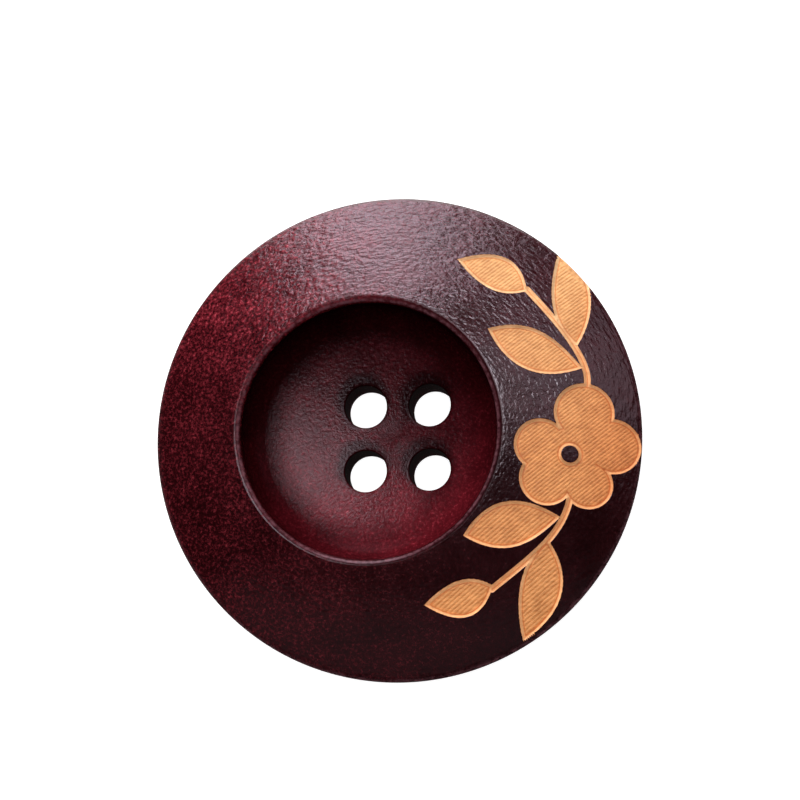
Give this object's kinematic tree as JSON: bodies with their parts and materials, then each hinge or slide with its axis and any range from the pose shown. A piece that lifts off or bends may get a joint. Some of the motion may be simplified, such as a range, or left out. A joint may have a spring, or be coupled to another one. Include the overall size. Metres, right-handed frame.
{
  "type": "wooden button",
  "caption": "Round turned wooden coat button with an off-centre dished face, sewing holes through its floor and a flower spray engraved in its rim.",
  "frame": {"origin": "middle of the flat back", "axes": "+Z out of the dished face, +X from the middle towards the engraved flower"},
  "size_m": [0.03, 0.03, 0.0065],
  "materials": {
    "stained_wood": "dark red stain under satin lacquer"
  },
  "bodies": {
    "root": {"button": "stained_wood"}
  },
  "joints": []
}
